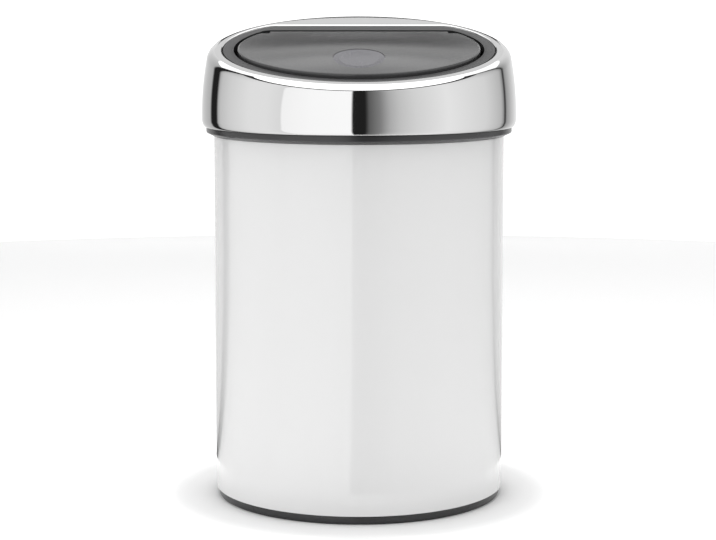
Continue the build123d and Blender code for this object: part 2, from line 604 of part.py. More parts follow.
def latch_slider():
    half_w = CAVITY_HALF_W - SLIP
    half_d = CAVITY_HALF_D - SLIP
    body = block((-half_w, half_w), (-half_d, half_d), (SLIDER_BOTTOM, SLIDER_TOP))
    reach = JAW_EYE_R + SLIP
    slot = block((JAW_PIN_X - reach, JAW_PIN_X + reach), (-JAW_W / 2 - SLIP, JAW_W / 2 + SLIP),
                 (JAW_PIN_Z - reach, REACH))
    pin = Pos(JAW_PIN_X, 0, JAW_PIN_Z) * bar(ALONG_Y, JAW_PIN_R + SEAT / 4, -half_d, half_d)
    for piece in both_sides(slot) + both_sides(pin):
        body -= piece
    body -= extrude_up(SPRING_BORE_R, SLIDER_BOTTOM - SEAT, SLIDER_BOTTOM + SPRING_BORE_DEPTH)
    cam = block((-CAM_SLOT_HALF, CAM_SLOT_HALF), (-REACH, CAM_SLOT_DEPTH - half_d),
                (SLIDER_BOTTOM - SEAT, SLIDER_TOP - CAM_SLOT_ROOF))
    return body - cam


def jaw_pins():
    half = CAVITY_HALF_D - SLIP - SEAT
    return both_sides(Pos(JAW_PIN_X, 0, JAW_PIN_Z) * bar(ALONG_Y, JAW_PIN_R, -half, half))


def jaw():
    """Right-hand jaw, closed: an arm up from its pivot with a lip turned in over the striker's head."""
    top = -LATCH_TOP - JAW_TOP
    inner, outer = JAW_ARM_HALF, JAW_ARM_HALF + JAW_T
    depth = (-JAW_W / 2, JAW_W / 2)
    arm = block((inner, outer), depth, (JAW_PIN_Z, top))
    lip = block((JAW_LIP_HALF, outer), depth, (LIP_UNDER, top))
    eye = Pos(JAW_PIN_X, 0, JAW_PIN_Z) * bar(ALONG_Y, JAW_EYE_R, *depth)
    hole = Pos(JAW_PIN_X, 0, JAW_PIN_Z) * bar(ALONG_Y, JAW_PIN_R + FIT, *depth)
    return arm + lip + eye - hole


def latch_spring():
    height = SLIDER_BOTTOM + SPRING_BORE_DEPTH - LATCH_FLOOR - 2 * SPRING_WIRE_R - SEAT
    turns = coil(SPRING_COIL_R, SPRING_WIRE_R, height / SPRING_TURNS, height)
    return Pos(0, 0, LATCH_FLOOR + SPRING_WIRE_R) * turns


# ---------------------------------------------------------------- write the nodes
def main():
    os.makedirs("parts", exist_ok=True)
    home = Location()
    save("body_shell", home, body_shell())
    save("bottom_plate", home, bottom_plate())
    save("base_ring", home, base_ring())
    save("inner_bucket", home, inner_bucket())
    save("bucket_handle", home, bucket_handle())
    save("collar_ring", home, collar_ring())
    save("steel_ring", home, steel_ring())
    save("lid_frame", RING_FRAME, lid_frame())
    save("hinge_axle", RING_FRAME, hinge_axle())
    right_spring, left_spring = both_sides(torsion_spring())
    save("torsion_spring_right", RING_FRAME, right_spring)
    save("torsion_spring_left", RING_FRAME, left_spring)
    save("lid_panel", LID_FRAME, lid_panel())
    save("lid_liner", LID_FRAME, lid_liner())
    save("liner_screws", LID_FRAME, *liner_screws())
    save("touch_disc", LID_FRAME, touch_disc())
    save("striker", LID_FRAME, striker())
    save("latch_housing", LATCH_FRAME, latch_housing())
    save("latch_cover", LATCH_FRAME, latch_cover())
    save("latch_screws", LATCH_FRAME, *latch_screws())
    save("cam_follower", LATCH_FRAME, cam_follower())
    save("latch_slider", LATCH_FRAME, latch_slider())
    save("jaw_pins", LATCH_FRAME, *jaw_pins())
    right_jaw, left_jaw = both_sides(jaw())
    save("jaw_right", LATCH_FRAME, right_jaw)
    save("jaw_left", LATCH_FRAME, left_jaw)
    save("latch_spring", LATCH_FRAME, latch_spring())


if __name__ == "__main__":
    main()
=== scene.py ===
"""Finishes for a push top countertop bin: enamelled body, bright sloping ring, textured lid and its works.

Lengths are in metres. Z is up, -Y is the front, and the lid's hinge is towards +Y. The ring's sloping top
has its own frame: X across, Y up the slope, Z square to it, with Z = 0 on the steel.
"""

from math import atan2, cos, pi, radians, sin, sqrt, tan

import bmesh
import bpy
from bpy.props import FloatProperty, FloatVectorProperty, PointerProperty
from mathutils import Matrix, Vector


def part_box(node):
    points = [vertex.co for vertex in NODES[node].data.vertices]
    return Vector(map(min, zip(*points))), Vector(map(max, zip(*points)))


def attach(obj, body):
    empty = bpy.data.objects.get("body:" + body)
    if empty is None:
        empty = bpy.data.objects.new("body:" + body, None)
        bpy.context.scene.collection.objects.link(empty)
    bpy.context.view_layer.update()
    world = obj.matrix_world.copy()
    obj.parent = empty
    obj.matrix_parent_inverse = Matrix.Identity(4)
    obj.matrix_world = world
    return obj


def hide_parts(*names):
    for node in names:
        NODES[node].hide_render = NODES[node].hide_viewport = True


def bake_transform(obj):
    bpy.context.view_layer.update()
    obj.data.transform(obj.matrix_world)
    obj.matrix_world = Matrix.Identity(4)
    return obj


bl_info = {
    "name": "Push Top Bin",
    "version": (1, 0, 0),
    "blender": (4, 5, 0),
    "location": "View3D > Sidebar > Push Top Bin",
    "description": "Builds and finishes a push top countertop bin round its CAD model",
    "category": "Add Mesh",
}

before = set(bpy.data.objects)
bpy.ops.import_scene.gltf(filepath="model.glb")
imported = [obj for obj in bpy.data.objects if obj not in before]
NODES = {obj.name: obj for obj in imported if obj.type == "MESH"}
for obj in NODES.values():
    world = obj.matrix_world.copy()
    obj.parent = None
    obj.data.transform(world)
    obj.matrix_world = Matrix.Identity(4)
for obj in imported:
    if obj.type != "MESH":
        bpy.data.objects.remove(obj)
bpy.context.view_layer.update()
MM = 0.001
WELD = 0.001 * MM          # vertices closer than this are merged

SHELL_LOW, SHELL_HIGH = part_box("body_shell")
COLLAR_LOW, COLLAR_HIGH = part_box("collar_ring")
RING_LOW, RING_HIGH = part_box("steel_ring")
BASE_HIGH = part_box("base_ring")[1]
COLLAR_TOP = RING_LOW.z    # the collar's brim, on which the steel ring stands

SHARP = 35                 # degrees at which an edge isn't smoothed
COLUMNS = 512              # columns round a ring or a D outline
ARC_SHARE = 0.72           # share of the columns on the D's round side
CORNER_SHARE = 0.07        # share of them on each rear corner
# Roundings of the base ring's section: corner, radius and steps.
FOOT_ROUNDS = [(0, 0.6 * MM, 3), (1, 0.9 * MM, 5), (2, 0.4 * MM, 3), (5, 0.2 * MM, 2)]


# ---------------------------------------------------------------- sizes and colours
class BinSizes(bpy.types.PropertyGroup):
    """Sizes of the pieces that are rebuilt round the CAD model."""
    body_radius: FloatProperty(name="Body radius", description="Outside of the steel tube",
                               default=SHELL_HIGH.x, unit="LENGTH")
    sheet: FloatProperty(name="Sheet", description="Thickness of the steel tube", default=0.8 * MM, unit="LENGTH")
    ring_radius: FloatProperty(name="Ring radius", description="Steel ring at its widest",
                               default=RING_HIGH.x, unit="LENGTH")
    ring_lean: FloatProperty(name="Ring lean", description="The ring's wall runs in by this much to its top",
                             default=4.1 * MM, unit="LENGTH")
    ring_height: FloatProperty(name="Ring height", description="Steel ring's height on the bin's axis",
                               default=45.5 * MM, unit="LENGTH")
    ring_straight: FloatProperty(name="Ring straight", description="Straight part of the ring's wall",
                                 default=7.0 * MM, unit="LENGTH")
    ring_hem: FloatProperty(name="Ring hem", description="Radius of the ring's rolled lower edge",
                            default=2.5 * MM, unit="LENGTH")
    ring_roll: FloatProperty(name="Ring roll", description="Height of the ring's rolled lower edge",
                             default=4.7 * MM, unit="LENGTH")
    ring_edge: FloatProperty(name="Ring edge", description="Rounding from the ring's wall to its top",
                             default=6.5 * MM, unit="LENGTH")
    ring_sheet: FloatProperty(name="Ring sheet", description="Thickness of the ring's steel",
                              default=0.9 * MM, unit="LENGTH")
    slope: FloatProperty(name="Slope", description="Slope of the ring's top", default=radians(12.1),
                         subtype="ANGLE", unit="ROTATION")
    opening_radius: FloatProperty(name="Opening radius", description="Round edge of the ring's opening",
                                  default=78.8 * MM, unit="LENGTH")
    opening_chord: FloatProperty(name="Opening chord", description="Straight rear edge of the opening",
                                 default=58.2 * MM, unit="LENGTH")
    opening_corner: FloatProperty(name="Opening corner", description="Rear corners of the opening",
                                  default=9.0 * MM, unit="LENGTH")
    lip_round: FloatProperty(name="Lip rounding", description="Rounding of the opening's rolled lip",
                             default=1.3 * MM, unit="LENGTH")
    lip_depth: FloatProperty(name="Lip depth", description="Depth of the rolled lip", default=3.5 * MM,
                             unit="LENGTH")
    lip_return: FloatProperty(name="Lip return", description="The lip's lower edge turns outwards by this much",
                              default=1.8 * MM, unit="LENGTH")
    tube_hem: FloatProperty(name="Tube hem", description="The tube's lower edge turns inwards by this much",
                            default=4.5 * MM, unit="LENGTH")
    tube_rim: FloatProperty(name="Tube rim", description="The tube's upper edge turns inwards by this much",
                            default=2.0 * MM, unit="LENGTH")
    tube_edge: FloatProperty(name="Tube edge", description="Rounding of the tube's two bends",
                             default=0.35 * MM, unit="LENGTH")
    foot_width: FloatProperty(name="Foot width", description="Width of the base ring", default=5.3 * MM,
                              unit="LENGTH")
    foot_lip: FloatProperty(name="Foot lip", description="From the tube's outside to the lip inside it",
                            default=4.6 * MM, unit="LENGTH")
    skirt_gap: FloatProperty(name="Skirt gap", description="From the tube's outside to the collar's skirt",
                             default=2.3 * MM, unit="LENGTH")
    skirt_wall: FloatProperty(name="Skirt wall", description="Thickness of the collar's skirt",
                              default=2.1 * MM, unit="LENGTH")
    collar_foot: FloatProperty(name="Collar foot", description="The collar's foot stands this far over the tube",
                               default=0.3 * MM, unit="LENGTH")
    collar_web: FloatProperty(name="Collar web", description="Height of the collar's upright brim",
                              default=2.9 * MM, unit="LENGTH")
    collar_edge: FloatProperty(name="Collar edge", description="Rounding of the collar's edges",
                               default=0.3 * MM, unit="LENGTH")
    spigot_gap: FloatProperty(name="Spigot gap", description="Between the steel ring and the collar's spigot",
                              default=0.3 * MM, unit="LENGTH")
    spigot_wall: FloatProperty(name="Spigot wall", description="Thickness of the collar's spigot",
                               default=2.6 * MM, unit="LENGTH")


class BinColours(bpy.types.PropertyGroup):
    """Colours of the bin's finishes."""
    enamel: FloatVectorProperty(name="Enamel", description="White enamel of the body", subtype="COLOR",
                                default=(0.715, 0.715, 0.715), min=0, max=1)
    steel: FloatVectorProperty(name="Steel", description="Polished steel of the ring", subtype="COLOR",
                               default=(0.66, 0.66, 0.66), min=0, max=1)
    moulding: FloatVectorProperty(name="Moulding", description="Dark plastic of the rings and the frame",
                                  subtype="COLOR", default=(0.022, 0.022, 0.023), min=0, max=1)
    lid: FloatVectorProperty(name="Lid", description="Textured black plastic of the lid", subtype="COLOR",
                             default=(0.058, 0.058, 0.059), min=0, max=1)
    spot: FloatVectorProperty(name="Touch spot", description="Plastic of the touch spot", subtype="COLOR",
                              default=(0.074, 0.072, 0.084), min=0, max=1)
    bucket: FloatVectorProperty(name="Bucket", description="Plastic of the inner bucket", subtype="COLOR",
                                default=(0.11, 0.11, 0.115), min=0, max=1)
    latch: FloatVectorProperty(name="Latch", description="Plastic of the push latch", subtype="COLOR",
                               default=(0.52, 0.52, 0.50), min=0, max=1)
    zinc: FloatVectorProperty(name="Zinc", description="Zinc-coated bottom plate", subtype="COLOR",
                              default=(0.56, 0.57, 0.59), min=0, max=1)
    wire: FloatVectorProperty(name="Wire", description="Spring steel, the handle and the axle", subtype="COLOR",
                              default=(0.50, 0.50, 0.51), min=0, max=1)
    screws: FloatVectorProperty(name="Screws", description="Zinc-plated screws", subtype="COLOR",
                                default=(0.60, 0.60, 0.59), min=0, max=1)


class Studio(bpy.types.PropertyGroup):
    """The light tent and the camera."""
    tent_radius: FloatProperty(name="Tent radius", description="Radius of the light tent's wall", default=1.3,
                               unit="LENGTH")
    wall_reach: FloatProperty(name="Wall reach", description="The wall ends at this elevation, seen from the ring",
                              default=radians(47), subtype="ANGLE", unit="ROTATION")
    roof_reach: FloatProperty(name="Roof reach", description="The roof starts at this elevation, from the ring",
                              default=radians(54), subtype="ANGLE", unit="ROTATION")
    roof_height: FloatProperty(name="Roof height", description="Height of the tent's roof", default=1.75,
                               unit="LENGTH")
    wall_glow: FloatProperty(name="Wall glow", description="Brightness of the tent's wall", default=1.0, min=0)
    roof_glow: FloatProperty(name="Roof glow", description="Brightness of the tent's roof", default=2.2, min=0)
    sky_glow: FloatProperty(name="Backdrop", description="Brightness of the backdrop", default=1.3, min=0)
    lens: FloatProperty(name="Lens", description="Focal length on a 36 mm sensor", default=99.62, min=10)
    distance: FloatProperty(name="Distance", description="Camera's distance from the bin's axis",
                            default=1.149, unit="LENGTH")
    eye: FloatProperty(name="Eye", description="Camera's height", default=0.2857, unit="LENGTH")
    pitch: FloatProperty(name="Pitch", description="The camera looks down by this angle", default=radians(6.443),
                         subtype="ANGLE", unit="ROTATION")
    shift_up: FloatProperty(name="Shift up", description="Vertical shift of the lens", default=-0.06)
    shift_across: FloatProperty(name="Shift across", description="Sideways shift of the lens", default=-0.0014)


# ---------------------------------------------------------------- materials
# Painted light and shade, and height, of the frame's band, by the share of its width from the steel inwards: the
# tone paints shade at the steel, in the groove and towards the inner edge, and highlights on the ridges between.
BAND_WIDTH = 8 * MM
BAND_PAINTED_SHADE = [(0.0, 0.0), (0.04, 0.1), (0.09, 1.0), (0.19, 1.0), (0.23, 0.6), (0.28, 1.0), (0.6, 0.9), (1.0, 0.6)]
BAND_SECTION = [(0.0, 0.85), (0.09, 1.0), (0.18, 1.0), (0.23, 0.9), (0.28, 0.98), (0.45, 0.88), (0.62, 0.6),
                (0.76, 0.1)]
# Height of the touch spot, by the share of its radius.
SPOT_DISH = [(0.0, 0.0), (0.6, 0.02), (0.78, 0.2), (0.9, 0.7), (0.98, 1.0)]


class Signal:
    """A node's output that takes part in arithmetic; each expression adds its Math nodes."""

    def __init__(self, finish, socket):
        self.finish = finish
        self.socket = socket

    def maths(self, operation, *values):
        return self.finish.node("ShaderNodeMath", {"operation": operation}, dict(enumerate(values)))

    def __add__(self, other):
        return self.maths("ADD", self, other)

    def __sub__(self, other):
        return self.maths("SUBTRACT", self, other)

    def __rsub__(self, other):
        return self.maths("SUBTRACT", other, self)

    def __mul__(self, other):
        return self.maths("MULTIPLY", self, other)

    def __truediv__(self, other):
        return self.maths("DIVIDE", self, other)

    __radd__ = __add__
    __rmul__ = __mul__


class Finish:
    """One procedural material, built by adding nodes and feeding the shader's sockets."""

    def __init__(self, name, constants=None, shader="ShaderNodeBsdfPrincipled"):
        self.material = bpy.data.materials.new(name)
        self.material.use_nodes = True
        self.nodes = self.material.node_tree.nodes
        self.links = self.material.node_tree.links
        self.nodes.clear()
        self.shader = self.nodes.new(shader)
        output = self.nodes.new("ShaderNodeOutputMaterial")
        self.links.new(self.shader.outputs[0], output.inputs["Surface"])
        for socket, value in (constants or {}).items():
            self.feed(socket, value)

    def feed(self, socket, value):
        """Sets a shader socket to a constant, or links a varying value to it."""
        self.put(self.shader.inputs[socket], value)

    def put(self, socket, value):
        if isinstance(value, Signal):
            self.links.new(value.socket, socket)
        elif hasattr(value, "__len__") and socket.type == "RGBA":
            socket.default_value = (*value[:3], 1.0)
        else:
            socket.default_value = value

    def node(self, kind, settings=None, values=None, output=0):
        """Adds a node, sets it up, and returns its output."""
        node = self.nodes.new(kind)
        for name, setting in (settings or {}).items():
            if name == "stops":
                self.set_stops(node.color_ramp, setting)
            else:
                setattr(node, name, setting)
        for socket, value in (values or {}).items():
            self.put(node.inputs[socket], value)
        return Signal(self, node.outputs[output])

    def set_stops(self, ramp, stops):
        """Moves a ramp's own two stops to the first two places and adds the others."""
        for place, value in stops[:2]:
            index = 0 if place == stops[0][0] else 1
            ramp.elements[index].position = place
            ramp.elements[index].color = (value, value, value, 1.0)
        for place, value in stops[2:]:
            ramp.elements.new(place).color = (value, value, value, 1.0)

    def coords(self, scale=(1, 1, 1), turn=(0, 0, 0), move=(0, 0, 0)):
        place = self.node("ShaderNodeTexCoord", output="Object")
        return self.node("ShaderNodeMapping", {}, {"Vector": place, "Location": move, "Rotation": turn,
                                                   "Scale": scale})

    def noise(self, scale, detail=2.0, roughness=0.5, vector=None):
        return self.node("ShaderNodeTexNoise", {}, {"Vector": vector or self.coords(), "Scale": scale,
                                                    "Detail": detail, "Roughness": roughness})

    def ramp(self, stops, share):
        return self.node("ShaderNodeValToRGB", {"stops": stops}, {"Fac": share})

    def reach(self, place):
        """Distance of a place from the origin."""
        return self.node("ShaderNodeVectorMath", {"operation": "LENGTH"}, {0: place}, output="Value")

    def flattened(self, place):
        return self.node("ShaderNodeMapping", {}, {"Vector": place, "Scale": (1, 1, 0)})

    def tint(self, share, dark, light):
        """Colour between dark and light, by a share that varies."""
        return self.node("ShaderNodeMix", {"data_type": "RGBA"},
                         {"Factor": share, 6: (*dark, 1.0), 7: (*light, 1.0)}, output=2)

    def bump(self, height, distance, strength=1.0):
        relief = self.node("ShaderNodeBump", {}, {"Height": height, "Distance": distance,
                                                  "Strength": strength})
        self.feed("Normal", relief)


def shade(colour, share):
    return tuple(min(1.0, part * share) for part in colour)


def speckled(finish, colour, scale, spread):
    """Base colour that drifts a little over the surface."""
    finish.feed("Base Color", finish.tint(finish.noise(scale), shade(colour, 1 - spread), shade(colour, 1 + spread)))


def enamel_finish(colour):
    finish = Finish("enamel", {"Coat Weight": 1.0, "Coat Roughness": 0.02, "Coat IOR": 1.5,
                               "Specular IOR Level": 0.15})
    finish.feed("Roughness", finish.noise(30.0) * 0.06 + 0.22)
    speckled(finish, colour, 14.0, 0.006)
    finish.bump(finish.noise(320.0, 1.0), 0.02 * MM, 0.25)
    return finish.material


def steel_finish(colour):
    finish = Finish("bright_steel", {"Metallic": 1.0})
    speckled(finish, colour, 24.0, 0.015)
    polish = finish.noise(1.0, 3.0, vector=finish.coords((30, 30, 900)))
    finish.feed("Roughness", polish * 0.03 + 0.025)
    finish.bump(finish.noise(55.0, 1.0), 0.01 * MM, 0.2)
    return finish.material


def moulding_finish(colour):
    finish = Finish("dark_moulding")
    speckled(finish, colour, 60.0, 0.12)
    grain = finish.noise(2600.0, 2.0)
    finish.feed("Roughness", grain * 0.08 + 0.20)
    finish.bump(grain, 0.012 * MM, 0.4)
    return finish.material


def band_finish(colour, sizes):
    """Frame round the lid: a dark line at the steel, a shallow groove, and a rounded inner edge, with painted shade
    darkening the line at the steel, the groove and the inner edge, and painted highlights lightening the ridges.
    """
    finish = Finish("lid_band", {"Specular IOR Level": 0.3})
    height = COLLAR_TOP + sizes.ring_height
    place = finish.coords(turn=(-sizes.slope, 0, 0),
                          move=(0, -height * sin(sizes.slope), -height * cos(sizes.slope)))
    radius = finish.reach(finish.flattened(place))
    back = finish.node("ShaderNodeSeparateXYZ", {}, {"Vector": place}, output="Y")
    inset = radius.maths("MINIMUM", sizes.opening_radius - radius, sizes.opening_chord - back) / BAND_WIDTH
    # Base colour painted darker at the steel, in the groove and towards the inner edge as painted shade, and lighter
    # on the ridges as painted highlights.
    finish.feed("Base Color", finish.tint(finish.ramp(BAND_PAINTED_SHADE, inset), shade(colour, 0.2), shade(colour, 1.3)))
    grain = finish.noise(2600.0, 2.0)
    finish.feed("Roughness", grain * 0.1 + 0.38)
    finish.bump(finish.ramp(BAND_SECTION, inset) + grain * 0.01, 1.0 * MM, 0.8)
    return finish.material


def textured_finish(name, colour, roughness, relief):
    """Spark-eroded texture: fine pebbles with a finer grain on them."""
    finish = Finish(name, {"Specular IOR Level": 0.3})
    pebbles = finish.noise(1500.0, 3.0, 0.6)
    speckled(finish, colour, 900.0, 0.18)
    finish.feed("Roughness", pebbles * 0.12 + roughness)
    finish.bump(pebbles, relief, 0.8)
    return finish.material


def spot_finish(colour, centre, radius):
    """Touch spot: the lid's texture in a lighter tone, falling from a soft rim to a shallow dish."""
    finish = Finish("spot_texture", {"Specular IOR Level": 0.3})
    out = finish.reach(finish.flattened(finish.coords(move=(-centre.x, -centre.y, 0)))) / radius
    grain = finish.noise(1500.0, 3.0, 0.6)
    speckled(finish, colour, 900.0, 0.15)
    finish.feed("Roughness", grain * 0.12 + 0.20)
    finish.bump(finish.ramp(SPOT_DISH, out) + grain * 0.012, 1.0 * MM, 0.8)
    return finish.material


def bucket_finish(colour):
    finish = Finish("bucket_plastic")
    flow = finish.noise(1.0, 3.0, vector=finish.coords((60, 60, 6)))
    finish.feed("Base Color", finish.tint(flow, shade(colour, 0.9), shade(colour, 1.1)))
    grain = finish.noise(1800.0, 2.0)
    finish.feed("Roughness", grain * 0.12 + 0.38)
    finish.bump(grain, 0.03 * MM, 0.5)
    return finish.material


def latch_finish(colour):
    finish = Finish("latch_plastic", {"Subsurface Weight": 0.1, "Subsurface Scale": 0.001})
    speckled(finish, colour, 200.0, 0.04)
    grain = finish.noise(3000.0, 2.0)
    finish.feed("Roughness", grain * 0.08 + 0.32)
    finish.bump(grain, 0.01 * MM, 0.4)
    return finish.material


def zinc_finish(colour):
    """Zinc coat with its flat crystals."""
    finish = Finish("zinc_coat", {"Metallic": 1.0})
    cells = finish.node("ShaderNodeTexVoronoi", {}, {"Vector": finish.coords(), "Scale": 130.0}, output="Color")
    crystal = finish.node("ShaderNodeSeparateColor", {}, {"Color": cells})
    finish.feed("Base Color", finish.tint(crystal, shade(colour, 0.82), shade(colour, 1.14)))
    finish.feed("Roughness", crystal * 0.14 + 0.30)
    finish.bump(finish.noise(500.0, 3.0), 0.02 * MM, 0.4)
    return finish.material


def wire_finish(name, colour, roughness):
    """Drawn or plated steel with faint marks."""
    finish = Finish(name, {"Metallic": 1.0})
    speckled(finish, colour, 400.0, 0.10)
    marks = finish.noise(2500.0, 3.0)
    finish.feed("Roughness", marks * 0.14 + roughness)
    finish.bump(marks, 0.01 * MM, 0.5)
    return finish.material


# ---------------------------------------------------------------- shapes
def close_mesh(shape):
    """Merges the vertices that meet, and turns every face outwards."""
    bmesh.ops.remove_doubles(shape, verts=shape.verts[:], dist=WELD)
    bmesh.ops.recalc_face_normals(shape, faces=shape.faces[:])


def outline(points, rounds=(), closed=True):
    """Wire in the XZ half-plane from (radius, height) points, with the numbered corners rounded."""
    shape = bmesh.new()
    made = [shape.verts.new((radius, 0.0, height)) for radius, height in points]
    for start, end in zip(made, made[1:]):
        shape.edges.new((start, end))
    if closed:
        shape.edges.new((made[-1], made[0]))
    for corner, radius, steps in rounds:
        bmesh.ops.bevel(shape, geom=[made[corner]], offset=radius, offset_type="OFFSET", segments=steps,
                        profile=0.5, affect="VERTICES", material=-1)
    return shape


def turned(points, rounds=(), closed=True, columns=COLUMNS // 2):
    """Solid of revolution about Z."""
    shape = outline(points, rounds, closed)
    spin(shape, columns)
    return shape


def spin(shape, columns):
    bmesh.ops.spin(shape, geom=shape.verts[:] + shape.edges[:], axis=(0, 0, 1), cent=(0, 0, 0), angle=2 * pi,
                   steps=columns, use_merge=True, use_duplicate=False)
    close_mesh(shape)


SPUN_FROM = 0.1    # radius at which a swept skin is spun before its vertices are placed


def swept(stations, place, closed=True, columns=COLUMNS):
    """Skin over a wire of stations carried round Z; place(station, turn) says where each vertex goes.

    turn runs from -1 to 1, with 0 at the front and the two ends at the rear.
    """
    shape = bmesh.new()
    station_of = shape.verts.layers.int.new("station")
    made = []
    for station in range(stations):
        made.append(shape.verts.new((0.0, SPUN_FROM + station * MM, 0.0)))
        made[-1][station_of] = station
    for start, end in zip(made, made[1:]):
        shape.edges.new((start, end))
    if closed:
        shape.edges.new((made[-1], made[0]))
    spin(shape, columns)
    for vertex in shape.verts:
        turn = atan2(vertex.co.x, -vertex.co.y) / pi
        vertex.co = place(vertex[station_of], turn)
    close_mesh(shape)
    return shape


def d_edge(turn, radius, chord, corner):
    """Point on a D outline, and the direction outwards there, for a turn from the front."""
    share = abs(turn)
    side = 1.0 if turn >= 0 else -1.0
    reach = sqrt((radius - corner) ** 2 - (chord - corner) ** 2)
    end = atan2(chord - corner, reach)
    if share < ARC_SHARE:
        angle = -pi / 2 + (end + pi / 2) * share / ARC_SHARE
        point, out = Vector((radius * cos(angle), radius * sin(angle))), Vector((cos(angle), sin(angle)))
    elif share < ARC_SHARE + CORNER_SHARE:
        angle = end + (pi / 2 - end) * (share - ARC_SHARE) / CORNER_SHARE
        out = Vector((cos(angle), sin(angle)))
        point = Vector((reach, chord - corner)) + out * corner
    else:
        along = (1 - share) / (1 - ARC_SHARE - CORNER_SHARE)
        point, out = Vector((reach * along, chord)), Vector((0.0, 1.0))
    return Vector((side * point.x, point.y)), Vector((side * out.x, out.y))


def ring_place(sizes):
    """Matrix from the frame of the ring's sloping top."""
    height = COLLAR_TOP + sizes.ring_height
    return Matrix.Translation((0, 0, height)) @ Matrix.Rotation(sizes.slope, 4, "X")


def arc(share, radius):
    """Offsets along and across a quarter round, from 0 to 1."""
    return radius * sin(share * pi / 2), radius * (1 - cos(share * pi / 2))


# ---------------------------------------------------------------- putting pieces in the scene
def link_mesh(name, shape, material):
    """Turns a finished shape into an object with one material, and frees the shape."""
    mesh = bpy.data.meshes.new(name)
    shape.to_mesh(mesh)
    shape.free()
    mesh.materials.append(material)
    piece = bpy.data.objects.new(name, mesh)
    bpy.context.scene.collection.objects.link(piece)
    return piece


def add_piece(name, shape, body, material, replaced=(), bends=()):
    """Makes a mesh piece with smooth faces between its sharp edges, and joins it to its body unless bends is given.

    bends holds a second body and two points, which are not used; a piece given bends only has its place baked into
    its mesh and is joined to no body.
    """
    piece = link_mesh(name, shape, material)
    for face in piece.data.polygons:
        face.use_smooth = True
    piece.data.set_sharp_from_angle(angle=radians(SHARP))
    if bends:
        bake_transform(piece)
    else:
        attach(piece, body)
    if replaced:
        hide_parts(*replaced)
    return piece


def dress(node, material):
    """Gives a CAD node its finish."""
    for slot in NODES[node].material_slots:
        slot.material = material


# ---------------------------------------------------------------- pieces
class BuildBody(bpy.types.Operator):
    """Build the enamelled tube and its base ring, and finish the bottom plate"""
    bl_idname = "push_bin.body"
    bl_label = "Body"

    def execute(self, context):
        sizes, colours = context.scene.push_bin_sizes, context.scene.push_bin_colours
        radius, inner = sizes.body_radius, sizes.body_radius - sizes.sheet
        low, high = SHELL_LOW.z, SHELL_HIGH.z
        hem_low, hem_high = radius - sizes.tube_hem, radius - sizes.tube_rim
        edge = sizes.tube_edge
        tube = turned([(hem_low, low), (radius, low), (radius, high), (hem_high, high),
                       (hem_high, high - sizes.sheet), (inner, high - sizes.sheet), (inner, low + sizes.sheet),
                       (hem_low, low + sizes.sheet)],
                      [(0, edge, 3), (1, edge, 5), (2, edge, 5), (3, edge, 3)])
        add_piece("enamelled_tube", tube, "bin_body", enamel_finish(colours.enamel), ["body_shell"])

        moulding = moulding_finish(colours.moulding)
        out, hole = BASE_HIGH.x, BASE_HIGH.x - sizes.foot_width
        lip = radius - sizes.foot_lip
        foot = turned([(hole, 0.0), (out, 0.0), (out, low), (lip, low), (lip, BASE_HIGH.z), (hole, BASE_HIGH.z)],
                      FOOT_ROUNDS)
        add_piece("foot_ring", foot, "bin_body", moulding, ["base_ring"])
        dress("bottom_plate", zinc_finish(colours.zinc))
        return {"FINISHED"}


class BuildCollar(bpy.types.Operator):
    """Build the dark collar between the body and the bright ring"""
    bl_idname = "push_bin.collar"
    bl_label = "Collar"

    def execute(self, context):
        sizes, colours = context.scene.push_bin_sizes, context.scene.push_bin_colours
        body_top, top = SHELL_HIGH.z, COLLAR_TOP
        skirt = sizes.body_radius - sizes.skirt_gap
        inner = skirt - sizes.skirt_wall
        foot = sizes.body_radius + sizes.collar_foot
        brim = sizes.ring_radius - sizes.ring_hem
        web = top - sizes.collar_web
        spigot = brim - sizes.ring_sheet - sizes.spigot_gap
        spigot_inside = spigot - sizes.spigot_wall
        edge = sizes.collar_edge
        shape = turned([(inner, COLLAR_LOW.z), (skirt, COLLAR_LOW.z), (skirt, body_top), (foot, body_top),
                        (brim, web), (brim, top), (spigot, top), (spigot, COLLAR_HIGH.z),
                        (spigot_inside, COLLAR_HIGH.z), (spigot_inside, top), (inner, top)],
                       [(0, edge, 2), (1, edge, 2), (3, edge, 3), (4, edge * 2, 4), (5, edge, 3), (7, edge, 2),
                        (8, edge, 2), (10, edge, 2)])
        add_piece("collar_band", shape, "lid_unit", moulding_finish(colours.moulding),
                  ["collar_ring"])
        return {"FINISHED"}


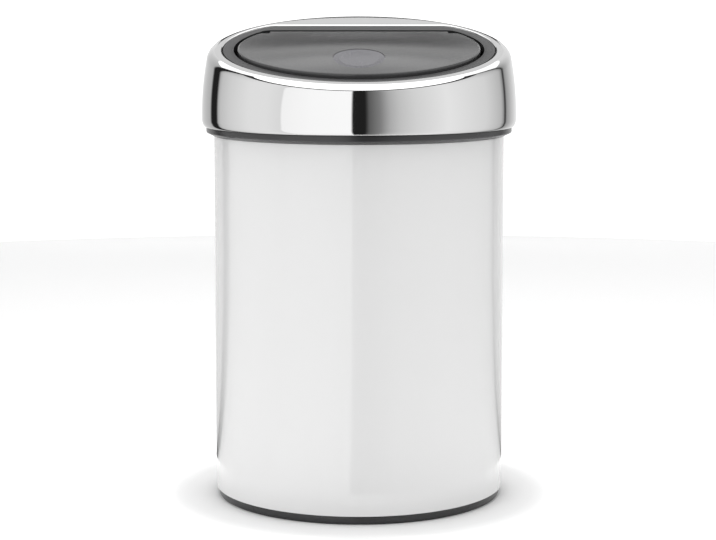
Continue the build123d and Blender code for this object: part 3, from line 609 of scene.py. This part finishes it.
class RingSkin:
    """Outside of the steel ring: rolled hem, wall running in to the sloping top, rounded edge and rolled lip."""
    HEM, WALL, EDGE, FLAT, LIP = 8, 18, 14, 3, 6    # stations on each part
    SEARCH = (0.3, 1.0)    # shares of the wall between which its rounded edge starts
    HALVINGS = 24

    def __init__(self, sizes):
        self.sizes = sizes
        self.place_top = ring_place(sizes)
        self.columns = {}
        self.stations = 1 + self.HEM + self.WALL + self.EDGE + self.FLAT + self.LIP + 2

    def wall(self, share, azimuth):
        """Point of the wall in the upright plane at an azimuth: (radius, height)."""
        sizes = self.sizes
        radius = sizes.ring_radius - sizes.ring_lean * share ** 2
        height = COLLAR_TOP + sizes.ring_straight + (sizes.ring_height - sizes.ring_straight) * share
        return Vector((radius, height + radius * sin(azimuth) * tan(sizes.slope * share)))

    def edge_start(self, azimuth):
        """Share of the wall at which the rounded edge starts, with the edge's centre."""
        sizes = self.sizes
        rise = sin(azimuth) * tan(sizes.slope)
        low, high = self.SEARCH
        step = MM / 10
        for _ in range(self.HALVINGS):
            middle = (low + high) / 2
            point = self.wall(middle, azimuth)
            along = (self.wall(middle + step, azimuth) - self.wall(middle - step, azimuth)).normalized()
            centre = point + Vector((-along.y, along.x)) * sizes.ring_edge
            top = COLLAR_TOP + sizes.ring_height + centre.x * rise
            if (top - centre.y) / sqrt(1 + rise ** 2) > sizes.ring_edge:
                low = middle
            else:
                high = middle
        return middle, centre

    def column(self, turn):
        """All stations of one column, from the hem's inner edge to the lip's lower edge."""
        sizes = self.sizes
        azimuth = turn * pi - pi / 2
        flat = [Vector((sizes.ring_radius - sizes.ring_hem - sizes.ring_sheet, COLLAR_TOP))]
        centre = Vector((sizes.ring_radius - sizes.ring_hem, COLLAR_TOP + sizes.ring_roll))
        for step in range(self.HEM):
            angle = -pi / 2 + pi / 2 * step / (self.HEM - 1)
            flat.append(centre + Vector((sizes.ring_hem * cos(angle), sizes.ring_roll * sin(angle))))
        start, middle = self.edge_start(azimuth)
        for step in range(self.WALL):
            flat.append(self.wall(start * step / (self.WALL - 1), azimuth))
        rise = sin(azimuth) * tan(sizes.slope)
        first = flat[-1] - middle
        first = atan2(first.y, first.x)
        last = pi / 2 + atan2(rise, 1.0)
        for step in range(1, self.EDGE + 1):
            angle = first + (last - first) * step / self.EDGE
            flat.append(middle + Vector((cos(angle), sin(angle))) * sizes.ring_edge)
        points = [Vector((p.x * cos(azimuth), p.x * sin(azimuth), p.y)) for p in flat]
        point, out = d_edge(turn, sizes.opening_radius, sizes.opening_chord, sizes.opening_corner)
        lip_start = self.on_top(point + out * sizes.lip_round, 0.0)
        for step in range(1, self.FLAT + 1):
            points.append(points[-1].lerp(lip_start, 1 / (self.FLAT + 1 - step)))
        for step in range(1, self.LIP + 1):
            along, drop = arc(step / self.LIP, sizes.lip_round)
            points.append(self.on_top(point + out * (sizes.lip_round - along), -drop))
        points.append(self.on_top(point, -sizes.lip_depth))
        points.append(self.on_top(point + out * sizes.lip_return, -sizes.lip_depth))
        return points

    def on_top(self, point, height):
        return self.place_top @ Vector((point.x, point.y, height))

    def place(self, station, turn):
        key = round(turn, 6)
        if key not in self.columns:
            self.columns[key] = self.column(turn)
        return self.columns[key][station]


class BuildRing(bpy.types.Operator):
    """Build the bright steel ring with its sloping top"""
    bl_idname = "push_bin.ring"
    bl_label = "Steel ring"

    def execute(self, context):
        sizes, colours = context.scene.push_bin_sizes, context.scene.push_bin_colours
        skin = RingSkin(sizes)
        shape = swept(skin.stations, skin.place, closed=False)
        bmesh.ops.solidify(shape, geom=shape.faces[:], thickness=sizes.ring_sheet)
        add_piece("bright_ring", shape, "lid_unit", steel_finish(colours.steel), ["steel_ring"])
        return {"FINISHED"}


class DressLid(bpy.types.Operator):
    """Finish the lid, its touch spot, its liner and the frame round it"""
    bl_idname = "push_bin.lid"
    bl_label = "Lid"

    def execute(self, context):
        colours = context.scene.push_bin_colours
        dress("lid_panel", textured_finish("lid_texture", colours.lid, 0.16, 0.016 * MM))
        spot_low, spot_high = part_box("touch_disc")
        dress("touch_disc", spot_finish(colours.spot, (spot_low + spot_high) / 2, (spot_high.x - spot_low.x) / 2))
        moulding = moulding_finish(colours.moulding)
        dress("lid_frame", band_finish(colours.moulding, context.scene.push_bin_sizes))
        dress("lid_liner", moulding)
        return {"FINISHED"}


class DressWorks(bpy.types.Operator):
    """Finish the hinge, the push latch, the screws, the bucket and its handle"""
    bl_idname = "push_bin.works"
    bl_label = "Works and bucket"

    def execute(self, context):
        colours = context.scene.push_bin_colours
        latch = latch_finish(colours.latch)
        for node in ("striker", "latch_housing", "latch_cover", "latch_slider", "jaw_right", "jaw_left"):
            dress(node, latch)
        wire = wire_finish("spring_wire", colours.wire, 0.24)
        for node in ("hinge_axle", "torsion_spring_right", "torsion_spring_left", "cam_follower", "jaw_pins",
                     "bucket_handle"):
            dress(node, wire)
        # The spring is built from the CAD coil and left in place with its place baked in; the slider and the coil's
        # end points given in bends are not used.
        coil = bmesh.new()
        coil.from_mesh(NODES["latch_spring"].data)
        close_mesh(coil)
        foot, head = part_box("latch_spring")
        bends = ("slider", (head.x, head.y, foot.z), head)
        add_piece("pushed_spring", coil, "lid_unit", wire, ["latch_spring"], bends=bends)
        plated = wire_finish("plated_screws", colours.screws, 0.18)
        for node in ("liner_screws", "latch_screws"):
            dress(node, plated)
        dress("inner_bucket", bucket_finish(colours.bucket))
        return {"FINISHED"}


# ---------------------------------------------------------------- studio
# Brightness of the tent's wall as the bright ring sees it, by the azimuth from the camera in degrees.
WALL_GLOW = [
    (-180, 0.95), (-164, 0.92), (-155, 0.76), (-134, 0.58), (-131.5, 0.02), (-121.6, 0.02), (-120.1, 0.55),
    (-116, 0.76), (-104, 0.92), (-84, 1.09), (-68, 1.1), (-56.2, 1.02), (-55.6, 1.32), (-34, 1.4), (-5, 1.43),
    (-4.6, 0.02), (5.3, 0.02), (6, 0.13), (14.7, 0.31), (21.6, 0.61), (28.6, 0.79), (39.5, 0.95), (65, 1.16),
    (101.5, 0.96), (122, 0.67), (126.3, 0.38), (128.1, 0.05), (129.3, 0.05), (132, 0.43), (143, 0.71), (155, 0.89),
    (180, 0.95),
]
# Screens inside the tent: name, share of the tent's radius, azimuths and elevations in degrees, and brightness.
SCREENS = (
    ("rear_light", 0.98, (133, 227), (33, 50), 1.6),
    ("rear_lamp", 0.96, (162, 198), (41, 49), 2.2),
    ("rear_card", 0.95, (164, 196), (23.5, 41), 0.85),
    ("rear_flag", 0.95, (168, 192), (1, 23.5), 0.06),
)
# Painted glow of the floor paper itself, which is no lamp, by the share of the tent's radius: none next to the bin,
# so the shade round its foot stays dark.
FLOOR_PAINTED_GLOW = [(0.066, 0.0), (0.08, 0.06), (0.1, 0.5), (0.15, 0.35), (0.5, 0.1), (1.0, 0.08)]
DISC_SEGMENTS = 96
CLOTH_COLUMNS = 180
SCREEN_STEPS = 32
SENSOR_WIDTH = 36.0    # mm
FAR_CLIP = 20.0
# Polished pieces see the wall's panels carried on over the floor, outside this radius and at this height.
MIRRORED_FROM = 0.125
MIRRORED_AT = 1 * MM
# The eave between the wall and the roof is dark at the front and the sides.
EAVE_GLOW = [(-180, 2.5), (-162, 2.5), (-160, 1.8), (-134, 1.8), (-130, 0.05), (130, 0.05), (134, 1.8), (160, 1.8),
             (162, 2.5), (180, 2.5)]


def glow_material(name, strength):
    finish = Finish(name, shader="ShaderNodeEmission")
    finish.feed("Strength", strength)
    return finish.material


def paper_finish(radius):
    """White paper with a painted glow of its own, left out next to the bin so the shade round its foot stays darker.
    """
    finish = Finish("floor_paper", {"Roughness": 0.9, "Specular IOR Level": 0.1, "Emission Strength": 1.0})
    speckled(finish, (0.8, 0.8, 0.8), 3.0, 0.005)
    # Painted glow: the paper's own emission, rising from none next to the bin.
    finish.feed("Emission Color", finish.ramp(FLOOR_PAINTED_GLOW, finish.reach(finish.coords()) / radius))
    return finish.material


def azimuth_share(finish):
    """Azimuth from the camera's side, from 0 to 1, with 0.5 at the front."""
    across, along = (finish.node("ShaderNodeSeparateXYZ", {}, {"Vector": finish.coords()}, output=axis)
                     for axis in ("X", "Y"))
    return across.maths("ARCTAN2", across, along * -1.0) / (2 * pi) + 0.5


def cloth_material(name, glow_by_azimuth, strength):
    """Glowing cloth round the bin, with its brightness given by the azimuth from the camera."""
    finish = Finish(name, shader="ShaderNodeEmission")
    brightest = max(glow for _, glow in glow_by_azimuth)
    stops = [((azimuth + 180) / 360, glow / brightest) for azimuth, glow in glow_by_azimuth]
    finish.feed("Color", finish.ramp(stops, azimuth_share(finish)))
    finish.feed("Strength", strength * brightest)
    return finish.material


def add_stage(name, shape, material, shown=False, glossy_only=False):
    """Puts a piece of the studio in the scene; only the floor is shown to the camera."""
    piece = link_mesh(name, shape, material)
    piece.visible_camera = shown
    piece.visible_diffuse = piece.visible_shadow = not glossy_only
    return piece


def disc(radius, height=0.0):
    shape = bmesh.new()
    bmesh.ops.create_circle(shape, cap_ends=True, segments=DISC_SEGMENTS, radius=radius)
    bmesh.ops.translate(shape, verts=shape.verts[:], vec=(0, 0, height))
    return shape


def add_cloth(name, inner, outer, glow_by_azimuth, strength, glossy_only=False):
    """Glowing band turned between two (radius, height) points."""
    band = turned([inner, outer], closed=False, columns=CLOTH_COLUMNS)
    add_stage(name, band, cloth_material(name, glow_by_azimuth, strength), glossy_only=glossy_only)


def add_screen(name, radius, azimuths, reach, material):
    """Upright curved screen between two azimuths from the camera and two elevations from the ring."""
    low, high = (RING_LOW.z + radius * tan(radians(angle)) for angle in reach)
    start, end = (radians(angle) for angle in azimuths)
    screen = outline([(radius, low), (radius, high)], closed=False)
    bmesh.ops.rotate(screen, verts=screen.verts[:], matrix=Matrix.Rotation(start - pi / 2, 3, "Z"))
    bmesh.ops.spin(screen, geom=screen.verts[:] + screen.edges[:], axis=(0, 0, 1), angle=end - start,
                   steps=SCREEN_STEPS)
    return add_stage(name, screen, material)


def add_backdrop(scene, studio):
    world = bpy.data.worlds.new("backdrop")
    world.use_nodes = True
    world.node_tree.nodes["Background"].inputs["Color"].default_value = (1, 1, 1, 1)
    world.node_tree.nodes["Background"].inputs["Strength"].default_value = studio.sky_glow
    scene.world = world
    scene.view_settings.view_transform = "Standard"


def add_camera(scene, studio):
    lens = bpy.data.cameras.new("camera")
    lens.lens = studio.lens
    lens.sensor_width = SENSOR_WIDTH
    lens.shift_x, lens.shift_y = studio.shift_across, studio.shift_up
    lens.clip_end = FAR_CLIP
    camera = bpy.data.objects.new("camera", lens)
    camera.location = (0.0, -studio.distance, studio.eye)
    camera.rotation_euler = (pi / 2 - studio.pitch, 0.0, 0.0)
    scene.collection.objects.link(camera)
    scene.camera = camera


class BuildStudio(bpy.types.Operator):
    """Set up the floor, the light tent and the camera"""
    bl_idname = "push_bin.studio"
    bl_label = "Studio"

    def execute(self, context):
        studio = context.scene.push_bin_studio
        radius, seen_from = studio.tent_radius, RING_LOW.z
        add_stage("floor", disc(radius), paper_finish(radius), shown=True)
        add_cloth("floor_sheen", (MIRRORED_FROM, MIRRORED_AT), (radius, MIRRORED_AT), WALL_GLOW, studio.wall_glow,
                  glossy_only=True)
        wall_top = seen_from + radius * tan(studio.wall_reach)
        roof_radius = (studio.roof_height - seen_from) / tan(studio.roof_reach)
        add_cloth("tent_wall", (radius, 0.0), (radius, wall_top), WALL_GLOW, studio.wall_glow)
        add_cloth("tent_eave", (radius, wall_top), (roof_radius, studio.roof_height), EAVE_GLOW, studio.wall_glow)
        for name, share, azimuths, reach, glow in SCREENS:
            add_screen(name, radius * share, azimuths, reach, glow_material(name, glow))
        add_stage("tent_roof", disc(roof_radius, studio.roof_height), glow_material("roof_light", studio.roof_glow))
        add_backdrop(context.scene, studio)
        add_camera(context.scene, studio)
        return {"FINISHED"}


class BinPanel(bpy.types.Panel):
    """Sidebar panel with the bin's sizes, colours and steps"""
    bl_idname = "VIEW3D_PT_push_bin"
    bl_label = "Push Top Bin"
    bl_space_type = "VIEW_3D"
    bl_region_type = "UI"
    bl_category = "Push Top Bin"

    def draw(self, context):
        for group in (context.scene.push_bin_sizes, context.scene.push_bin_colours, context.scene.push_bin_studio):
            box = self.layout.box()
            for name in group.__annotations__:
                box.prop(group, name)
        for step in STEPS:
            self.layout.operator(step.bl_idname)


GROUPS = (BinSizes, BinColours, Studio)
STEPS = (BuildStudio, BuildBody, BuildCollar, BuildRing, DressLid, DressWorks)


def register():
    for item in GROUPS + STEPS + (BinPanel,):
        bpy.utils.register_class(item)
    bpy.types.Scene.push_bin_sizes = PointerProperty(type=BinSizes)
    bpy.types.Scene.push_bin_colours = PointerProperty(type=BinColours)
    bpy.types.Scene.push_bin_studio = PointerProperty(type=Studio)


def unregister():
    del bpy.types.Scene.push_bin_studio
    del bpy.types.Scene.push_bin_colours
    del bpy.types.Scene.push_bin_sizes
    for item in reversed(GROUPS + STEPS + (BinPanel,)):
        bpy.utils.unregister_class(item)


def main():
    register()
    for step in STEPS:
        group, name = step.bl_idname.split(".")
        getattr(getattr(bpy.ops, group), name)()


if __name__ == "__main__":
    main()
